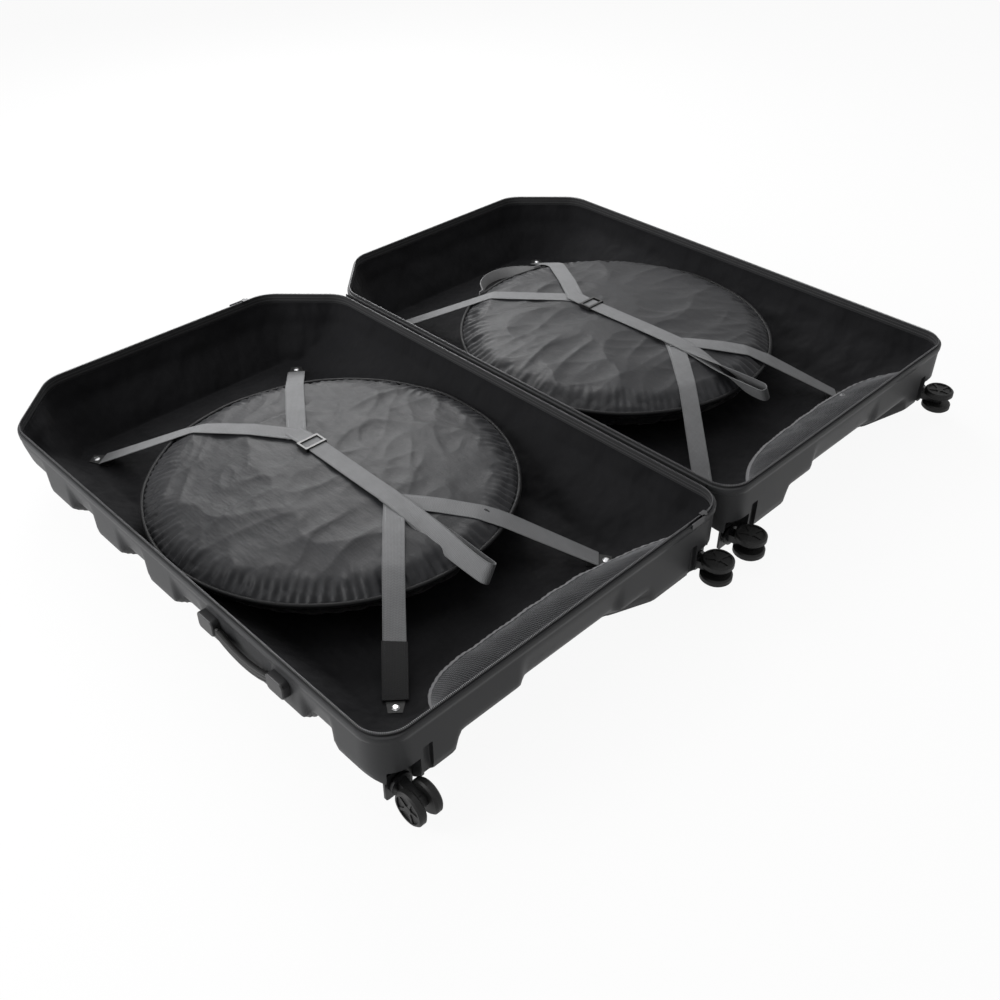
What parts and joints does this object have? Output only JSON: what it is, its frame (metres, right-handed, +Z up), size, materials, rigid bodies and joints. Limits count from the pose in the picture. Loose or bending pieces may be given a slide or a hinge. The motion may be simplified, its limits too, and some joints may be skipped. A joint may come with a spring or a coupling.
{
  "type": "bike travel case",
  "caption": "Hard clamshell travel case for a bicycle, lying open on its ribbed shells, with padded wheel bags under webbing straps, mesh pockets, swivel casters and a carry handle.",
  "frame": {"origin": "middle of the open case's outer box at floor level, on the hinge line within a few millimetres", "axes": "+X along the hinge towards the casters, +Y from the base half to the lid half, +Z up from the floor"},
  "size_m": [1.236, 1.5635, 0.172],
  "materials": {
    "shell": "satin",
    "lining": "matte",
    "zipper_tape": "matte",
    "net": "matte",
    "hem": "matte",
    "bag": "satin",
    "webbing": "matte",
    "adjuster": "satin",
    "anchor": "matte",
    "rivet": "satin",
    "caster_body": "satin",
    "axle": "satin",
    "caster_wheel": "matte",
    "hinge_cloth": "matte",
    "grip": "satin",
    "mount": "satin",
    "zipper_metal": "satin"
  },
  "bodies": {
    "base": {"base_anchor_rivets": "rivet", "base_hinge_caster_seat": "caster_body", "base_lining": "lining", "base_mesh_pocket": "net", "base_outer_caster_seat": "caster_body", "base_pocket_hem": "hem", "base_shell": "shell", "base_strap_anchors": "anchor", "base_strap_front": "webbing", "base_strap_loop": "webbing", "base_strap_rear": "webbing", "base_wheel_bag": "bag", "base_zipper_tape": "zipper_tape", "handle_mount_front": "mount", "handle_mount_rear": "mount", "hinge_strip": "hinge_cloth"},
    "lid": {"lid_anchor_rivets": "rivet", "lid_bag_loop": "webbing", "lid_hinge_caster_seat": "caster_body", "lid_lining": "lining", "lid_mesh_pocket": "net", "lid_outer_caster_seat": "caster_body", "lid_pocket_hem": "hem", "lid_shell": "shell", "lid_strap_anchors": "anchor", "lid_strap_front": "webbing", "lid_strap_loop": "webbing", "lid_strap_rear": "webbing", "lid_wheel_bag": "bag", "lid_zipper_tape": "zipper_tape"},
    "base_hinge_caster_wheels": {"base_hinge_caster_axle": "axle", "base_hinge_caster_wheel_left": "caster_wheel", "base_hinge_caster_wheel_right": "caster_wheel"},
    "base_hinge_caster_fork_body": {"base_hinge_caster_fork": "caster_body"},
    "base_outer_caster_wheels": {"base_outer_caster_axle": "axle", "base_outer_caster_wheel_left": "caster_wheel", "base_outer_caster_wheel_right": "caster_wheel"},
    "base_outer_caster_fork_body": {"base_outer_caster_fork": "caster_body"},
    "base_adjuster": {"base_strap_adjuster": "adjuster"},
    "handle": {"handle_grip": "grip"},
    "lid_hinge_caster_wheels": {"lid_hinge_caster_axle": "axle", "lid_hinge_caster_wheel_left": "caster_wheel", "lid_hinge_caster_wheel_right": "caster_wheel"},
    "lid_hinge_caster_fork_body": {"lid_hinge_caster_fork": "caster_body"},
    "lid_outer_caster_wheels": {"lid_outer_caster_axle": "axle", "lid_outer_caster_wheel_left": "caster_wheel", "lid_outer_caster_wheel_right": "caster_wheel"},
    "lid_outer_caster_fork_body": {"lid_outer_caster_fork": "caster_body"},
    "lid_adjuster": {"lid_strap_adjuster": "adjuster"},
    "pull_front": {"zipper_pull_front": "zipper_metal"},
    "pull_rear": {"zipper_pull_rear": "zipper_metal"},
    "slider_front": {"zipper_slider_front": "zipper_metal"},
    "slider_rear": {"zipper_slider_rear": "zipper_metal"}
  },
  "joints": [
    {"name": "lid_hinge", "type": "hinge", "parent": "base", "child": "lid", "pos_m": [0, 0, 0.1723], "axis": [1, 0, 0], "range_deg": [0, 180]},
    {"name": "base_hinge_caster_swivel", "type": "hinge", "parent": "base", "child": "base_hinge_caster_fork_body", "pos_m": [0.5395, -0.049, 0.047], "axis": [1, 0, 0], "continuous": true},
    {"name": "base_hinge_caster_roll", "type": "hinge", "parent": "base_hinge_caster_fork_body", "child": "base_hinge_caster_wheels", "pos_m": [0.5865, -0.042, 0.047], "axis": [0, 0, 1], "continuous": true},
    {"name": "base_outer_caster_swivel", "type": "hinge", "parent": "base", "child": "base_outer_caster_fork_body", "pos_m": [0.5395, -0.732, 0.047], "axis": [1, 0, 0], "continuous": true},
    {"name": "base_outer_caster_roll", "type": "hinge", "parent": "base_outer_caster_fork_body", "child": "base_outer_caster_wheels", "pos_m": [0.5865, -0.732, 0.04], "axis": [0, 1, 0], "continuous": true},
    {"name": "lid_hinge_caster_swivel", "type": "hinge", "parent": "lid", "child": "lid_hinge_caster_fork_body", "pos_m": [0.5395, 0.049, 0.047], "axis": [1, 0, 0], "continuous": true},
    {"name": "lid_hinge_caster_roll", "type": "hinge", "parent": "lid_hinge_caster_fork_body", "child": "lid_hinge_caster_wheels", "pos_m": [0.5865, 0.056, 0.047], "axis": [0, 0, 1], "continuous": true},
    {"name": "lid_outer_caster_swivel", "type": "hinge", "parent": "lid", "child": "lid_outer_caster_fork_body", "pos_m": [0.5395, 0.732, 0.047], "axis": [1, 0, 0], "continuous": true},
    {"name": "lid_outer_caster_roll", "type": "hinge", "parent": "lid_outer_caster_fork_body", "child": "lid_outer_caster_wheels", "pos_m": [0.5865, 0.739, 0.047], "axis": [0, 0, 1], "continuous": true},
    {"name": "handle_swing", "type": "hinge", "parent": "base", "child": "handle", "pos_m": [0.2475, -0.781, 0.123], "axis": [-1, 0, 0], "range_deg": [0, 110]},
    {"name": "slider_front_slide", "type": "slide", "parent": "base", "child": "slider_front", "axis": [0, -1, 0], "range_m": [0, 0.63]},
    {"name": "slider_rear_slide", "type": "slide", "parent": "base", "child": "slider_rear", "axis": [0, -1, 0], "range_m": [0, 0.415]},
    {"name": "pull_front_swing", "type": "hinge", "parent": "slider_front", "child": "pull_front", "pos_m": [0.5673, -0.071, 0.168], "axis": [0, 0, 1], "range_deg": [0, 150]},
    {"name": "pull_rear_swing", "type": "hinge", "parent": "slider_rear", "child": "pull_rear", "pos_m": [-0.6183, -0.181, 0.168], "axis": [0, 0, -1], "range_deg": [0, 150]},
    {"name": "base_adjuster_slide", "type": "slide", "parent": "base", "child": "base_adjuster", "axis": [1, 0, 0], "range_m": [0, 0.185]},
    {"name": "lid_adjuster_slide", "type": "slide", "parent": "lid", "child": "lid_adjuster", "axis": [1, 0, 0], "range_m": [0, 0.185]}
  ]
}
